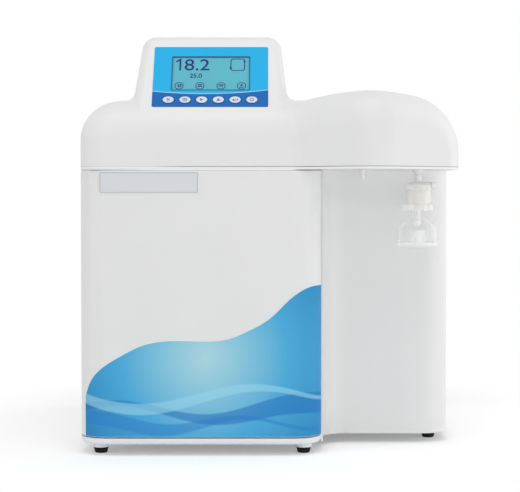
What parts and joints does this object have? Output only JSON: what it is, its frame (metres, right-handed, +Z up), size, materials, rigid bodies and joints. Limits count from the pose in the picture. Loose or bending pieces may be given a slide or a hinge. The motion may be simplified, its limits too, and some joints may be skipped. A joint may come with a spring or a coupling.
{
  "type": "ultrapure water system",
  "caption": "Bench water purifier: white cabinet with a blue-filmed door, tilted keypad display head and a nose over a bay with a bell-shaped outlet filter.",
  "frame": {"origin": "on the bench, below the middle of the machine's bounding box", "axes": "+X to the viewer's right, +Y to the back, +Z up"},
  "size_m": [0.424, 0.451, 0.47],
  "materials": {
    "tray_plastic": "fine grain",
    "foot_rubber": "smooth",
    "rear_steel": "powder coat",
    "screw_steel": "plated",
    "side_paint": "powder coat",
    "bay_plastic": "satin",
    "inner_paint": "powder coat",
    "frame_plastic": "satin",
    "cover_plastic": "satin",
    "foil_blue": "printed foil",
    "window_clear": "clear",
    "module_panel": "display glass",
    "circuit_board": "solder mask",
    "key_grey": "satin",
    "door_plastic": "satin",
    "film_blue": "printed film",
    "plate_grey": "satin",
    "plated_steel": "plated",
    "magnet_black": "ferrite",
    "pin_steel": "ground",
    "fitting_white": "smooth",
    "capsule_clear": "translucent",
    "membrane_cream": "pleated",
    "vent_white": "smooth",
    "dust_cap_white": "smooth",
    "tube_white": "smooth",
    "cartridge_white": "moulded",
    "manifold_plastic": "moulded",
    "housing_white": "moulded",
    "pump_body": "paint",
    "pump_casing": "moulded",
    "rotor_plastic": "moulded",
    "reactor_steel": "brushed",
    "supply_case": "mill",
    "valve_brass": "machined",
    "port_acetal": "moulded",
    "cell_steel": "turned",
    "pipe_steel": "drawn",
    "entry_black": "moulded",
    "rocker_red": "moulded"
  },
  "bodies": {
    "chassis": {"base_tray": "tray_plastic", "foot_front_left": "foot_rubber", "foot_front_middle": "foot_rubber", "foot_bay": "foot_rubber", "foot_rear_left": "foot_rubber", "foot_rear_right": "foot_rubber", "rear_panel": "rear_steel", "rear_screws": "screw_steel", "left_side_panel": "side_paint", "bay_panel": "bay_plastic", "partition": "inner_paint", "top_frame": "frame_plastic", "top_cover": "cover_plastic", "keypad_foil": "foil_blue", "display_window": "window_clear", "display_module": "module_panel", "display_board": "circuit_board", "door_magnets": "magnet_black", "hinge_pin_lower": "pin_steel", "hinge_pin_upper": "pin_steel", "outlet_fitting": "fitting_white", "stub_outlet": "tube_white", "cartridge_manifold": "manifold_plastic", "membrane_module": "housing_white", "booster_pump": "pump_body", "loop_pump_casing": "pump_casing", "loop_pump_lid": "pump_casing", "lamp_reactor": "reactor_steel", "power_supply": "supply_case", "control_board": "circuit_board", "valve_block": "valve_brass", "feed_inlet": "port_acetal", "tank_port": "port_acetal", "drain_port": "port_acetal", "resistivity_cell": "cell_steel", "outlet_pipe": "pipe_steel", "power_entry": "entry_black"},
    "door": {"door_shell": "door_plastic", "door_film": "film_blue", "name_plate": "plate_grey", "strike_plates": "plated_steel"},
    "capsule": {"capsule_cap": "capsule_clear", "capsule_body": "capsule_clear", "filter_membrane": "membrane_cream", "capsule_bell": "capsule_clear", "outlet_nozzle": "capsule_clear"},
    "vent_cap": {"vent_cap": "vent_white"},
    "bell_dust_cap": {"bell_dust_cap": "dust_cap_white"},
    "pump_rotor": {"loop_pump_rotor": "rotor_plastic"},
    "power_rocker": {"power_rocker": "rocker_red"},
    "fuse_drawer": {"fuse_drawer": "entry_black"},
    "key_1": {"key_1": "key_grey"},
    "key_2": {"key_2": "key_grey"},
    "key_3": {"key_3": "key_grey"},
    "key_4": {"key_4": "key_grey"},
    "key_5": {"key_5": "key_grey"},
    "key_6": {"key_6": "key_grey"},
    "cartridge_1": {"cartridge_1": "cartridge_white"},
    "cartridge_2": {"cartridge_2": "cartridge_white"},
    "cartridge_3": {"cartridge_3": "cartridge_white"}
  },
  "joints": [
    {"name": "door_hinge", "type": "hinge", "parent": "chassis", "child": "door", "pos_m": [-0.205, -0.1655, 0.16835], "axis": [0, 0, -1], "range_deg": [0, 110]},
    {"name": "key_1_press", "type": "slide", "parent": "chassis", "child": "key_1", "axis": [0, 0.809, -0.5878], "range_m": [0, 0.0008], "stiffness_N_per_m": 1500, "springref_m": -0.0004},
    {"name": "key_2_press", "type": "slide", "parent": "chassis", "child": "key_2", "axis": [0, 0.809, -0.5878], "range_m": [0, 0.0008], "stiffness_N_per_m": 1500, "springref_m": -0.0004},
    {"name": "key_3_press", "type": "slide", "parent": "chassis", "child": "key_3", "axis": [0, 0.809, -0.5878], "range_m": [0, 0.0008], "stiffness_N_per_m": 1500, "springref_m": -0.0004},
    {"name": "key_4_press", "type": "slide", "parent": "chassis", "child": "key_4", "axis": [0, 0.809, -0.5878], "range_m": [0, 0.0008], "stiffness_N_per_m": 1500, "springref_m": -0.0004},
    {"name": "key_5_press", "type": "slide", "parent": "chassis", "child": "key_5", "axis": [0, 0.809, -0.5878], "range_m": [0, 0.0008], "stiffness_N_per_m": 1500, "springref_m": -0.0004},
    {"name": "key_6_press", "type": "slide", "parent": "chassis", "child": "key_6", "axis": [0, 0.809, -0.5878], "range_m": [0, 0.0008], "stiffness_N_per_m": 1500, "springref_m": -0.0004},
    {"name": "capsule_swivel", "type": "hinge", "parent": "chassis", "child": "capsule", "pos_m": [0.165, -0.1575, 0.3106], "axis": [0, 0, 1], "range_deg": [-180, 180]},
    {"name": "vent_cap_turn", "type": "hinge", "parent": "capsule", "child": "vent_cap", "pos_m": [0.1806, -0.1575, 0.2998], "axis": [1, 0, 0], "range_deg": [-180, 180]},
    {"name": "dust_cap_removal", "type": "slide", "parent": "capsule", "child": "bell_dust_cap", "axis": [0, 0, -1], "range_m": [0, 0.04]},
    {"name": "cartridge_1_lock", "type": "hinge", "parent": "chassis", "child": "cartridge_1", "pos_m": [-0.1615, -0.1095, 0.256], "axis": [0, 0, 1], "range_deg": [0, 60]},
    {"name": "cartridge_2_lock", "type": "hinge", "parent": "chassis", "child": "cartridge_2", "pos_m": [-0.0775, -0.1095, 0.256], "axis": [0, 0, 1], "range_deg": [0, 60]},
    {"name": "cartridge_3_lock", "type": "hinge", "parent": "chassis", "child": "cartridge_3", "pos_m": [0.0065, -0.1095, 0.256], "axis": [0, 0, 1], "range_deg": [0, 60]},
    {"name": "pump_rotor_spin", "type": "hinge", "parent": "chassis", "child": "pump_rotor", "pos_m": [0.128, 0.0025, 0.0495], "axis": [0, 0, 1], "continuous": true},
    {"name": "rocker_tip", "type": "hinge", "parent": "chassis", "child": "power_rocker", "pos_m": [-0.154, 0.20717, 0.107], "axis": [1, 0, 0], "range_deg": [0, 18]},
    {"name": "fuse_drawer_slide", "type": "slide", "parent": "chassis", "child": "fuse_drawer", "axis": [0, 1, 0], "range_m": [0, 0.014]}
  ]
}
